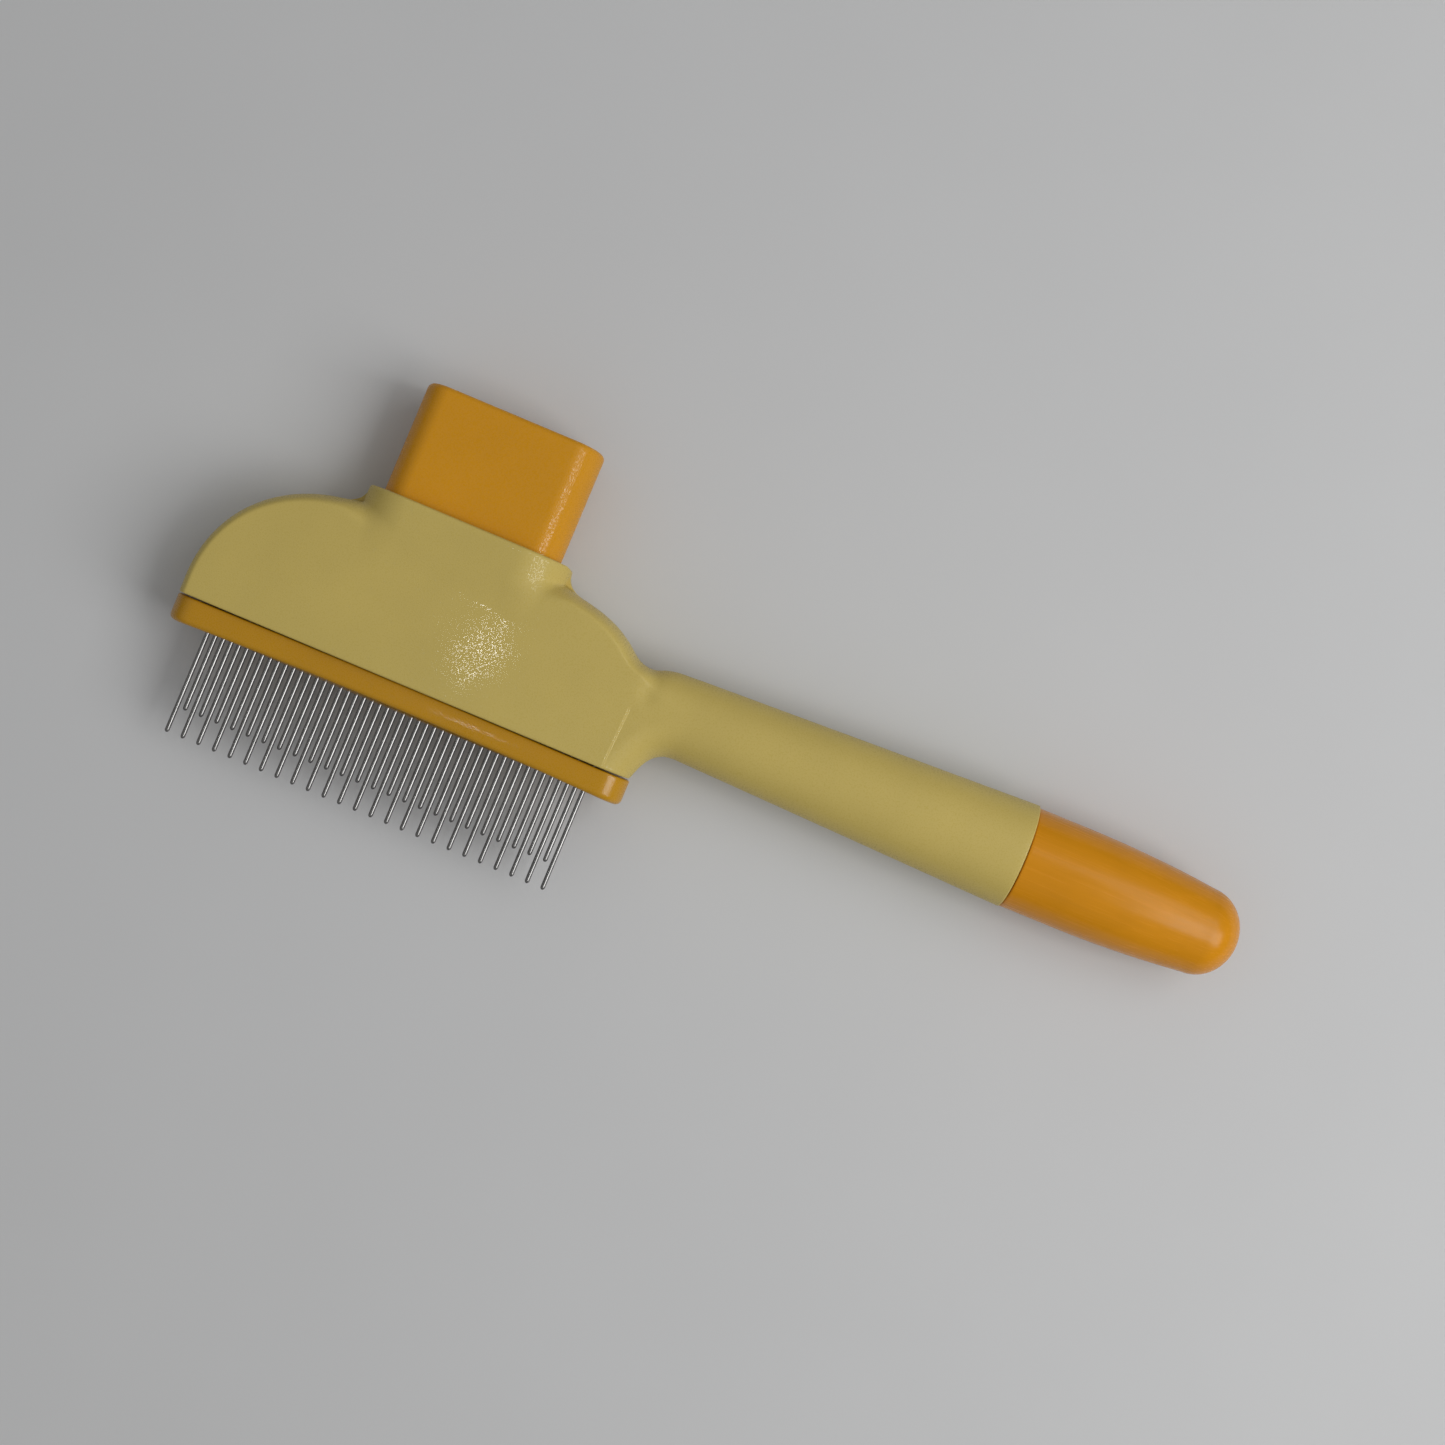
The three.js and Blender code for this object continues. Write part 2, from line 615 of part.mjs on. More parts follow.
const tool = new THREE.Group();
add(tool, "front_shell", frontShell(), material(COLOURS.pale, 0.55, 0));
add(tool, "rear_shell", rearShell(), material(COLOURS.pale, 0.55, 0));
add(tool, "push_button", pushButton(), material(COLOURS.orange, 0.5, 0));
add(tool, "push_frame", pushFrame(), material(COLOURS.orange, 0.5, 0));
add(tool, "stripper_bar", stripperBar(), material(COLOURS.orange, 0.3, 0));
add(tool, "pin_carrier", pinCarrier(), material(COLOURS.pale, 0.6, 0));

const cap = add(tool, "end_cap", endCap(), material(COLOURS.cap, 0.4, 0));
cap.rotation.z = HANDLE_TILT - Math.PI / 2;
cap.position.set(HANDLE_END_X, handleCentre(HANDLE_END_X) - CAP_DROP, MID);

for (const [name, side] of [["left", -1], ["right", 1]]) {
  const spring = add(tool, `return_spring_${name}`, returnSpring(), material(COLOURS.steel, 0.3, 1));
  spring.position.set(side * SPRING_X, 0, MID);
}

for (let i = 0; i < PIN_COUNT; i += 1) {
  const long = i % 2 === 0;
  const number = String(Math.floor(i / 2) + 1).padStart(2, "0");
  const name = `${long ? "long" : "short"}_pin_${number}`;
  const steel = material(COLOURS.steel, 0.25, 1);
  const mesh = add(tool, name, pin(long ? LONG_PIN_TIP : SHORT_PIN_TIP), steel);
  mesh.position.set(pinX(i), 0, MID);
}

const middle = new THREE.Box3().setFromObject(tool).getCenter(new THREE.Vector3());
tool.position.set(-middle.x, -middle.y, 0);

export default tool;
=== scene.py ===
import math

import bpy
import numpy as np
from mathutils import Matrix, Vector


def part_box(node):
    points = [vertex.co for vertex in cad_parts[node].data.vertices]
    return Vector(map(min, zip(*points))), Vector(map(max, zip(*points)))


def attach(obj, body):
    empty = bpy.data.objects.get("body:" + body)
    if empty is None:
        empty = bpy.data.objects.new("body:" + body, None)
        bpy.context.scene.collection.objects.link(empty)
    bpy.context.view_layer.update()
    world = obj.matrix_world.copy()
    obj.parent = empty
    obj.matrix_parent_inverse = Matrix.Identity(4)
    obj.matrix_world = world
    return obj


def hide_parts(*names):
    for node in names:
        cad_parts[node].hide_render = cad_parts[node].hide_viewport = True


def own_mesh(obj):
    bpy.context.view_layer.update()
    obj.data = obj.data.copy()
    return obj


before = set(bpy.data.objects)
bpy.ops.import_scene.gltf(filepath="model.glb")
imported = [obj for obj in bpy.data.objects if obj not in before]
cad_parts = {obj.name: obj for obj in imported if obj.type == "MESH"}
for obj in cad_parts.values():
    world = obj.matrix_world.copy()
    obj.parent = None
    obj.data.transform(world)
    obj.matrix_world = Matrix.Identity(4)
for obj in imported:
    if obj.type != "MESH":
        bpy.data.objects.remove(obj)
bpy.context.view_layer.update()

# Self-cleaning deshedding comb. Shapes are made in millimetres, counted from the middle of the head on
# the handle's axis, with Z up from the floor. They are moved to the row frame when they become meshes.
MM = 0.001
MID = 10.75                     # height of the plane where the two shells meet
CARRIER_TOP = -8.0
CARRIER_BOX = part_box("pin_carrier")
SHIFT = np.array([
    (CARRIER_BOX[0].x + CARRIER_BOX[1].x) / 2,
    CARRIER_BOX[1].y - CARRIER_TOP * MM,
    0.0,
])

PARTING_GAP = 0.1               # between the two shells
RUNNING_GAP = 0.3               # around pieces that slide
FIT_GAP = 0.05                  # around pieces that are pressed in

HEAD_HALF_LENGTH = 48
HEAD_BOTTOM = -15.4
HEAD_EDGE_HALF_THICKNESS = 8.0
HEAD_RISE = 0.05                # how much thicker the head gets for each millimetre towards the button
HEAD_CROWN = 0.6                # how much thinner it is at its two ends
HEAD_EDGE_ROUND = 2.4
HEAD_BOTTOM_ROUND = 0.45
SHELL_LIP = 0.8                 # straight wall at the parting plane
FLARE_FOOT_X = 47.8             # where the head's lower edge turns up towards the handle

SHOULDER_X = 25.5               # where the arch meets the collar's fillet
SHOULDER_Y = 13.85
CREST_RISE = 3.1                # how much higher than there the wings reach behind the collar
CREST_SLOPE_COSINE = 0.98
CREST_ROUND = 6
CREST_ROUND_HALF_WIDTH = 16

COLLAR_TOP = 18.4
COLLAR_HALF_WIDTH = 21.6
COLLAR_HALF_THICKNESS = 10.9
COLLAR_END_ROUND = 10
COLLAR_LEAN = 0.14              # how much thinner it gets for each millimetre away from its rim
COLLAR_SINK = 0.015             # curves it down into the head below this height
COLLAR_SINK_START_Y = 12
COLLAR_RIM_ROUND = 0.8
COLLAR_CREST_BLEND = 0.8        # width of the fillet between collar and wings, in the middle
COLLAR_FILLET = 2.2             # and at the collar's two ends
COLLAR_FILLET_RUN = (10, 19)
NO_FILLET = 0.01

NECK_START_X = 42               # the flat head starts to turn into the handle
NECK_END_X = 56                 # from here on the handle is round
NECK_ROUND_RUN = 8
CREASE_X = 42.2                 # crease across the lower half of the neck, at the head's lower edge
CREASE_LEAN = 0.5               # how far its upper end is from there
CREASE_TOP = -1
CREASE_FADE = 3
GROOVE_DEPTH = 0.08             # fine groove along the crease
GROOVE_WIDTH = 0.14
NECK_STEP = 0.18                # how much lower the surface is past the crease
NECK_STEP_WIDTH = 0.35
NECK_VALLEY = 0.45              # depth of the dip across the upper half of the neck
NECK_VALLEY_X = 45.2
NECK_VALLEY_WIDTH = 1.9
NECK_VALLEY_FADE = 2.5
FLARE_ROUND = 6.3
FLARE_ONSET = 30                # how fast the edge gets rounder past the crease

HANDLE_START_X = 54.6
HANDLE_END_X = 124.6
HANDLE_TOP_START = 8.05
HANDLE_TOP_END = 11.14
HANDLE_LOW_START = -8.47
HANDLE_LOW_END = -10.34
HANDLE_BORE_WALL = 2
HANDLE_END_ROUND = 0.35

CAP_END_X = 171.1
CAP_DROP = 0.15                 # how far the cap sits below the handle's axis
CAP_RADIUS = 10.46
CAP_STRAIGHT_X = 136
CAP_DOME_X = 163.2
CAP_DOME_RADIUS = 8.88
CAP_WALL = 1.8
CAP_SPIGOT_RADIUS = 7.7
CAP_SPIGOT_LENGTH = 9
CAP_SEAM = 0.15                 # gap between the handle's end and the cap
CAP_RIM_ROUND = 0.3

BUTTON_TOP = 41.6
BUTTON_SKIRT = 17.0             # lower edge of the button, just inside the collar
BUTTON_HALF_WIDTH = 18.8
BUTTON_HALF_THICKNESS = 7.7
BUTTON_END_ROUND = 5.5
BUTTON_WALL = 1.5
BUTTON_EDGE_ROUND = 1.2
BUTTON_SKIRT_ROUND = 0.25

TRAVEL = 18
TRAVEL_RESERVE = 0.6

BAR_HALF_LENGTH = 48.25
BAR_CENTRE_X = -0.2
BAR_TOP = -15.5
BAR_HEIGHT = 4.8
BAR_HALF_THICKNESS = 6
BAR_DRAFT = 0.03
BAR_END_ROUND = 5
BAR_TOP_BOW = 0.3
BAR_LOW_BOW = 0.9
BAR_TOP_ROUND = 0.4
BAR_LOW_ROUND = 1.1

PIN_PITCH = 1.68
PIN_COUNT = 49
PIN_RADIUS = 0.48
PIN_ROOT = -9.5
LONG_PIN_TIP = -42.4
SHORT_PIN_TIP = -37.1
PIN_TIP_LENGTH = 0.62

CARRIER_BOTTOM = -14.6
CARRIER_HALF_LENGTH = 45
CARRIER_HALF_THICKNESS = 3.2

SPRING_SEAT = 24                # underside of the plate that the springs push against
SPRING_X = 9.5
SPRING_RADIUS = 2.7
SPRING_WIRE_RADIUS = 0.4
SPRING_TURNS = 8
SPRING_END_GAP = 0.15

CAVITY_HALF_THICKNESS = 6
CAVITY_HALF_LENGTH = 42.5
CAVITY_TOP = 10


# Curves of the plan outline.
def bezier(points, steps):
    t = np.linspace(0, 1, steps + 1)[:, None]
    points = [np.array(p, float) for p in points]
    while len(points) > 1:
        points = [a * (1 - t) + b * t for a, b in zip(points, points[1:])]
    return points[0]


def joined(parts):
    return np.vstack([parts[0], *[p[1:] for p in parts[1:]]])


def upper_edge():
    left_shoulder = (-SHOULDER_X, SHOULDER_Y)
    collar_side = (-COLLAR_HALF_WIDTH, 17.2)
    rim_end = 20.2
    neck_side = (39.1, 8.1)
    neck_low = (43.5, 6.35)
    handle_root = (50.2, 7.8)
    handle_start = (HANDLE_START_X, HANDLE_TOP_START)
    arch = bezier([(-HEAD_HALF_LENGTH, -12), (-HEAD_HALF_LENGTH, 2), (-38.2, 11.75), left_shoulder], 80)
    left_fillet = bezier([left_shoulder, (-22.1, 14.5), collar_side], 24)
    left_corner = bezier([collar_side, (-21.4, COLLAR_TOP), (-rim_end, COLLAR_TOP)], 12)
    rim = bezier([(-rim_end, COLLAR_TOP), (rim_end, COLLAR_TOP)], 1)
    mirror = np.array([-1, 1])
    shoulder = bezier([(SHOULDER_X, SHOULDER_Y), (30.2, 12.95), (34.2, 12.2), neck_side], 48)
    neck = bezier([neck_side, (41.1, 6.35), neck_low], 20)
    rise = bezier([neck_low, (45.5, 6.35), (45.8, 7.65), handle_root], 32)
    root = bezier([handle_root, handle_start], 1)
    handle = bezier([handle_start, (HANDLE_END_X, HANDLE_TOP_END)], 1)
    return joined([
        arch, left_fillet, left_corner, rim,
        left_corner[::-1] * mirror, left_fillet[::-1] * mirror,
        shoulder, neck, rise, root, handle,
    ])


def lower_edge():
    flare_foot = (FLARE_FOOT_X, HEAD_BOTTOM)
    handle_start = (HANDLE_START_X, HANDLE_LOW_START)
    flat = bezier([(-HEAD_HALF_LENGTH, HEAD_BOTTOM), flare_foot], 1)
    flare = bezier([flare_foot, (48.8, -12.2), (49.9, -8.5), handle_start], 32)
    handle = bezier([handle_start, (HANDLE_END_X, HANDLE_LOW_END)], 1)
    return joined([flat, flare, handle])


UPPER = upper_edge()
LOWER = lower_edge()
LOWER_FREE = LOWER[1:]


def edge_height(points, x):
    return np.interp(x, points[:, 0], points[:, 1])


def distance_to(points, x, y):
    nearest = np.full(np.shape(x), np.inf)
    for a, b in zip(points, points[1:]):
        run = b - a
        t = np.clip(((x - a[0]) * run[0] + (y - a[1]) * run[1]) / (run @ run), 0, 1)
        nearest = np.minimum(nearest, np.hypot(x - a[0] - t * run[0], y - a[1] - t * run[1]))
    return nearest


def smooth(x, low, high):
    t = np.clip((x - low) / (high - low), 0, 1)
    return t * t * (3 - 2 * t)


def mix(a, b, t):
    return a + (b - a) * t


# A quarter of an ellipse: 0 on the edge, 1 from one radius inwards.
def round_edge(distance, radius):
    t = np.clip(distance / radius, 0, 1)
    return np.sqrt(1 - (1 - t) ** 2)


# The higher of two surfaces, with a fillet where they are less than its width apart.
def filleted(a, b, width):
    near = np.maximum(width - np.abs(a - b), 0) / width
    return np.maximum(a, b) + near * near * width / 4


def handle_radius(x):
    return (edge_height(UPPER, x) - edge_height(LOWER, x)) / 2


def handle_centre(x):
    return (edge_height(UPPER, x) + edge_height(LOWER, x)) / 2


HANDLE_TILT = math.atan2(
    handle_centre(HANDLE_END_X) - handle_centre(HANDLE_START_X),
    HANDLE_END_X - HANDLE_START_X,
)


# Height of the shell's outside above the parting plane.
def shell_height(x, y):
    side = np.abs(x)
    edge = np.minimum(distance_to(UPPER, x, y), distance_to(LOWER_FREE, x, y))
    edge = np.minimum(edge, x + HEAD_HALF_LENGTH)
    to_handle = smooth(x, NECK_START_X, NECK_END_X)
    rod = handle_radius(np.maximum(x, HANDLE_START_X))

    ends = np.minimum(side / HEAD_HALF_LENGTH, 1)
    face = HEAD_EDGE_HALF_THICKNESS + HEAD_RISE * (y - HEAD_BOTTOM) - HEAD_CROWN * ends ** 2
    low = 1 - smooth(y, CREASE_TOP - CREASE_FADE, CREASE_TOP)
    crease = CREASE_X + CREASE_LEAN * smooth(y, HEAD_BOTTOM, CREASE_TOP)
    groove = np.exp(-(((x - crease) / GROOVE_WIDTH) ** 2))
    step = NECK_STEP * smooth(x, crease, crease + NECK_STEP_WIDTH)
    face = face - low * (1 - to_handle) * (step + GROOVE_DEPTH * groove)
    valley = np.exp(-(((x - NECK_VALLEY_X) / NECK_VALLEY_WIDTH) ** 2))
    face = face - NECK_VALLEY * valley * smooth(y, -NECK_VALLEY_FADE, NECK_VALLEY_FADE)
    face = mix(face, rod, to_handle)

    crest_line = SHOULDER_Y + CREST_RISE * (1 - (x / SHOULDER_X) ** 2)
    wing_round = mix(CREST_ROUND, HEAD_EDGE_ROUND, smooth(side, CREST_ROUND_HALF_WIDTH, SHOULDER_X))
    neck_share = smooth(x, NECK_START_X, NECK_START_X + NECK_ROUND_RUN)
    shoulder_round = mix(HEAD_EDGE_ROUND, FLARE_ROUND, neck_share)
    flare_round = np.clip((x - crease) * FLARE_ONSET, HEAD_EDGE_ROUND, FLARE_ROUND)
    neck_round = mix(mix(shoulder_round, flare_round, low), rod, to_handle)
    radius = np.where(x > SHOULDER_X, neck_round, wing_round)
    below_crest = np.minimum(x + HEAD_HALF_LENGTH, CREST_SLOPE_COSINE * (crest_line - y))
    inside = np.where(side < SHOULDER_X, below_crest, edge)
    wing = SHELL_LIP + (face - SHELL_LIP) * round_edge(inside, radius)

    rim = COLLAR_RIM_ROUND * (1 - round_edge(COLLAR_TOP - y, COLLAR_RIM_ROUND))
    sunk = COLLAR_LEAN * (COLLAR_TOP - y) + COLLAR_SINK * np.maximum(COLLAR_SINK_START_Y - y, 0) ** 2
    crest = np.maximum(COLLAR_HALF_THICKNESS - sunk - SHELL_LIP, 0)
    collar = SHELL_LIP + crest * round_edge(COLLAR_HALF_WIDTH - side, COLLAR_END_ROUND) - rim
    fillet = mix(COLLAR_CREST_BLEND, COLLAR_FILLET, smooth(side, *COLLAR_FILLET_RUN))
    fillet = mix(fillet, NO_FILLET, smooth(side, SHOULDER_X - 2, SHOULDER_X))
    height = np.where(side < SHOULDER_X, filleted(wing, collar, fillet), wing)

    head_edge = HEAD_BOTTOM_ROUND * (1 - round_edge(y - HEAD_BOTTOM, HEAD_BOTTOM_ROUND))
    height = height - np.where(x < FLARE_FOOT_X, head_edge, 0)
    handle_end = HANDLE_END_ROUND * (1 - round_edge(HANDLE_END_X - x, HANDLE_END_ROUND))
    return np.minimum(height - handle_end, MID)


# Meshes.
def mesh_object(name, vertices, faces):
    mesh = bpy.data.meshes.new(name)
    mesh.from_pydata((np.asarray(vertices) * MM + SHIFT).tolist(), [], faces)
    mesh.update()
    obj = bpy.data.objects.new(name, mesh)
    bpy.context.scene.collection.objects.link(obj)
    return obj


def cut(obj, *cutters):
    for cutter in cutters:
        modifier = obj.modifiers.new("cut", "BOOLEAN")
        modifier.operation = "DIFFERENCE"
        modifier.solver = "MANIFOLD"
        modifier.object = cutter
    graph = bpy.context.evaluated_depsgraph_get()
    mesh = bpy.data.meshes.new_from_object(obj.evaluated_get(graph))
    obj.modifiers.clear()
    obj.data = mesh
    for cutter in cutters:
        bpy.data.objects.remove(cutter)


def shade(obj, angle=32):
    obj.data.shade_smooth()
    obj.data.set_sharp_from_angle(angle=math.radians(angle))


# A closed skin over rings that have the same number of points. The two ends are closed by flat faces, and a
# ring that is given as one point closes the skin there.
def skin(name, rings):
    count = max(len(r) for r in rings)
    vertices = [p for r in rings for p in r]
    starts = np.cumsum([0, *[len(r) for r in rings]])
    faces = []
    for i in range(len(rings) - 1):
        a, b = int(starts[i]), int(starts[i + 1])
        for j in range(count):
            k = (j + 1) % count
            if len(rings[i]) == 1:
                faces.append((a, b + k, b + j))
            elif len(rings[i + 1]) == 1:
                faces.append((a + j, a + k, b))
            else:
                faces.append((a + j, a + k, b + k, b + j))
    if len(rings[0]) > 1:
        faces.append(tuple(range(count))[::-1])
    if len(rings[-1]) > 1:
        last = int(starts[-2])
        faces.append(tuple(range(last, last + count)))
    return mesh_object(name, vertices, faces)


def spaced(start, end, step):
    return np.linspace(start, end, max(2, round(abs(end - start) / step) + 1))


# Stations along X: close together where the shape turns quickly.
def shell_stations():
    left_wall = -HEAD_HALF_LENGTH + HEAD_EDGE_ROUND * (1 - np.cos(np.linspace(0, np.pi / 2, 22)))
    handle_end = HANDLE_END_X - HANDLE_END_ROUND * (1 - np.cos(np.linspace(np.pi / 2, 0, 7)))
    corner_in, corner_out = 19.8, 22.6
    crease_in, crease_out = 41.8, 43.4
    runs = [
        left_wall,
        spaced(left_wall[-1], -corner_out, 0.35),
        spaced(-corner_out, -corner_in, 0.07),
        spaced(-corner_in, corner_in, 0.5),
        spaced(corner_in, corner_out, 0.07),
        spaced(corner_out, crease_in, 0.35),
        spaced(crease_in, crease_out, 0.06),
        spaced(crease_out, NECK_END_X, 0.25),
        spaced(NECK_END_X, handle_end[0], 1.3),
        handle_end,
    ]
    return np.unique(np.round(np.concatenate(runs), 5))


# One half of the outer shell, above the parting plane and solid.
def shell_block(name):
    columns = 90
    x = shell_stations()
    low = edge_height(LOWER, x)
    high = edge_height(UPPER, x)
    share = (1 - np.cos(np.linspace(0, np.pi, columns + 1))) / 2
    grid_x = np.repeat(x[:, None], columns + 1, axis=1)
    grid_y = low[:, None] + (high - low)[:, None] * share[None, :]
    top = np.stack([grid_x, grid_y, MID + shell_height(grid_x, grid_y)], axis=-1)
    floor = MID + PARTING_GAP / 2
    rims = np.stack([
        np.stack([x, low, np.full_like(x, floor)], axis=-1),
        np.stack([x, high, np.full_like(x, floor)], axis=-1),
    ], axis=1)
    vertices = np.vstack([top.reshape(-1, 3), rims.reshape(-1, 3)])
    row = columns + 1
    base = len(x) * row
    faces = []
    for i in range(len(x) - 1):
        a, b = i * row, (i + 1) * row
        faces += [(a + j, b + j, b + j + 1, a + j + 1) for j in range(columns)]
        low_a, high_a, low_b, high_b = (base + 2 * i + k for k in range(4))
        faces.append((low_a, high_a, high_b, low_b))
        faces.append((low_a, low_b, b, a))
        faces.append((a + columns, b + columns, high_b, high_a))
    last = (len(x) - 1) * row
    faces.append((*range(columns + 1), base + 1, base))
    rim_end = base + 2 * len(x)
    faces.append((*range(last + columns, last - 1, -1), rim_end - 2, rim_end - 1))
    return mesh_object(name, vertices, faces)


# A rectangle with rounded ends, as points of X and Z around zero.
def stadium(half_width, half_thickness, end_round, steps=20, cuts=1):
    angles = np.linspace(0, np.pi / 2, steps + 1)
    corner_x = half_width - end_round + end_round * np.cos(angles)
    corner_z = half_thickness * np.sin(angles)
    right = np.stack([
        np.concatenate([corner_x, corner_x[::-1]])[:, None],
        np.concatenate([corner_z, -corner_z[::-1]])[:, None],
    ], axis=-1)[:, 0]
    upper, lower = right[: steps + 1], right[steps + 1:]
    top_run = np.linspace(upper[-1], upper[-1] * [-1, 1], cuts + 1)[1:-1]
    bottom_run = np.linspace(lower[0] * [-1, 1], lower[0], cuts + 1)[1:-1]
    left_upper = upper[::-1] * [-1, 1]
    left_lower = lower[::-1] * [-1, 1]
    return np.vstack([upper, top_run, left_upper, left_lower[1:], bottom_run, lower[:-1]])


def ring(points, y):
    return np.stack([points[:, 0], np.broadcast_to(y, len(points)), MID + points[:, 1]], axis=-1)


def prism(name, outline, low, high):
    outline = np.asarray(outline, float)
    rings = [np.hstack([outline, np.full((len(outline), 1), z)]) for z in (low, high)]
    return skin(name, rings)


def rectangle(x, y):
    return [(-x, y[0]), (x, y[0]), (x, y[1]), (-x, y[1])]


def wing_space():
    reach = CAVITY_HALF_LENGTH
    low = HEAD_BOTTOM - 5
    left = bezier([(-24, CAVITY_TOP), (-reach + 2, 6.5), (-reach, -6)], 10)
    right = bezier([(40, 2), (35, 7.5), (24, CAVITY_TOP)], 10)
    outline = np.vstack([[(-reach, low), (reach, low), (reach, -4)], right, left])
    return prism("wing_space", outline, MID - CAVITY_HALF_THICKNESS, MID + CAVITY_HALF_THICKNESS)


def carrier_slots():
    outline = rectangle(CARRIER_HALF_LENGTH + FIT_GAP, (CARRIER_BOTTOM, CARRIER_TOP + FIT_GAP))
    reach = CARRIER_HALF_THICKNESS + FIT_GAP
    return prism("carrier_slots", outline, MID - reach, MID + reach)


def button_well():
    half_width = BUTTON_HALF_WIDTH + RUNNING_GAP
    outline = stadium(half_width, BUTTON_HALF_THICKNESS + RUNNING_GAP, BUTTON_END_ROUND)
    floor = BUTTON_SKIRT - TRAVEL - TRAVEL_RESERVE
    return skin("button_well", [ring(outline, COLLAR_TOP + 5), ring(outline, floor)])


# A solid turned about the handle's axis. The profile is a list of distances from x along the axis, each
# with its radius.
def turned(name, x, profile, sides, drop=0):
    angles = np.arange(sides) / sides * 2 * np.pi
    along = np.array([math.cos(HANDLE_TILT), math.sin(HANDLE_TILT), 0])
    across = np.array([-math.sin(HANDLE_TILT), math.cos(HANDLE_TILT), 0])
    axis_y = handle_centre(HANDLE_START_X) + math.tan(HANDLE_TILT) * (x - HANDLE_START_X)
    start = np.array([x, axis_y - drop, MID])
    rings = []
    for distance, radius in profile:
        centre = start + along * distance
        if radius == 0:
            rings.append([centre])
            continue
        offset = np.cos(angles)[:, None] * across + np.sin(angles)[:, None] * np.array([0, 0, 1])
        rings.append(centre + radius * offset)
    return skin(name, rings)


def handle_bore():
    start = HEAD_HALF_LENGTH - 6
    length = HANDLE_END_X + 1 - start
    radius_start = handle_radius(HANDLE_START_X) - HANDLE_BORE_WALL - 0.4
    radius_end = handle_radius(HANDLE_END_X) - HANDLE_BORE_WALL
    return turned("handle_bore", start, [(0, radius_start), (length, radius_end)], 48)


def shells():
    front = shell_block("shell_front_half")
    cut(front, wing_space(), carrier_slots(), button_well(), handle_bore())
    front.data.name = front.name
    rear = front.copy()
    rear.data = front.data.copy()
    rear.name = "shell_rear_half"
    bpy.context.scene.collection.objects.link(rear)
    for vertex in rear.data.vertices:
        vertex.co.z = 2 * MID * MM - vertex.co.z
    rear.data.flip_normals()
    for obj in (front, rear):
        shade(obj)
    return front, rear


def end_cap():
    length = CAP_END_X - HANDLE_END_X
    straight = CAP_STRAIGHT_X - HANDLE_END_X
    dome = CAP_DOME_X - HANDLE_END_X
    bore = CAP_SPIGOT_RADIUS - CAP_WALL
    rim = CAP_RADIUS - CAP_RIM_ROUND
    profile = [(dome - 2, 0), (dome - 6, bore)]
    profile += [(-CAP_SPIGOT_LENGTH, bore), (-CAP_SPIGOT_LENGTH, CAP_SPIGOT_RADIUS)]
    profile += [(CAP_SEAM, CAP_SPIGOT_RADIUS), (CAP_SEAM, rim)]
    for angle in np.linspace(0, np.pi / 2, 5)[1:]:
        along = CAP_SEAM + CAP_RIM_ROUND * (1 - math.cos(angle))
        profile.append((along, rim + CAP_RIM_ROUND * math.sin(angle)))
    profile += [(distance, CAP_RADIUS) for distance in spaced(0.8, straight, 2.5)]
    for t in np.linspace(0, 1, 15)[1:]:
        radius = CAP_RADIUS - (CAP_RADIUS - CAP_DOME_RADIUS) * t * t
        profile.append((straight + (dome - straight) * t, radius))
    for angle in np.linspace(0, np.pi / 2, 25)[1:-1]:
        profile.append((dome + (length - dome) * math.sin(angle), CAP_DOME_RADIUS * math.cos(angle)))
    profile.append((length, 0))
    cap = turned("handle_end_cap", HANDLE_END_X, profile, 112, CAP_DROP)
    shade(cap)
    return cap


def thumb_button():
    def outline(inset):
        half_width = BUTTON_HALF_WIDTH - inset
        return stadium(half_width, BUTTON_HALF_THICKNESS - inset, BUTTON_END_ROUND - inset, 24, 16)

    ceiling = BUTTON_TOP - BUTTON_WALL
    shoulder = BUTTON_TOP - BUTTON_EDGE_ROUND
    rings = [ring(outline(BUTTON_WALL + 1.0), ceiling)]
    rings += [ring(outline(BUTTON_WALL), y) for y in (ceiling - 0.01, BUTTON_SKIRT)]
    rings.append(ring(outline(BUTTON_SKIRT_ROUND), BUTTON_SKIRT))
    rings.append(ring(outline(0), BUTTON_SKIRT + BUTTON_SKIRT_ROUND))
    rings += [ring(outline(0), y) for y in spaced(BUTTON_SKIRT + 1, shoulder - 0.3, 2)]
    for angle in np.linspace(0, np.pi / 2, 9):
        inset = BUTTON_EDGE_ROUND * (1 - math.cos(angle))
        rings.append(ring(outline(inset), shoulder + BUTTON_EDGE_ROUND * math.sin(angle)))
    rings.append(ring(outline(BUTTON_EDGE_ROUND + 0.4), BUTTON_TOP))
    button = skin("thumb_button", rings[::-1])
    shade(button)
    return button


def pin_x(index):
    return (index - (PIN_COUNT - 1) / 2) * PIN_PITCH


def bar_holes():
    radius = PIN_RADIUS + RUNNING_GAP / 2
    circle = stadium(radius, radius, radius, 5)
    vertices = []
    faces = []
    sides = len(circle)
    for i in range(PIN_COUNT):
        base = len(vertices)
        for y in (BAR_TOP + 2, BAR_TOP - BAR_HEIGHT - 3):
            vertices += [(pin_x(i) + x, y, MID + z) for x, z in circle]
        faces += [
            (base + j, base + (j + 1) % sides, base + sides + (j + 1) % sides, base + sides + j)
            for j in range(sides)
        ]
        faces.append(tuple(range(base, base + sides))[::-1])
        faces.append(tuple(range(base + sides, base + 2 * sides)))
    return mesh_object("bar_holes", vertices, faces)


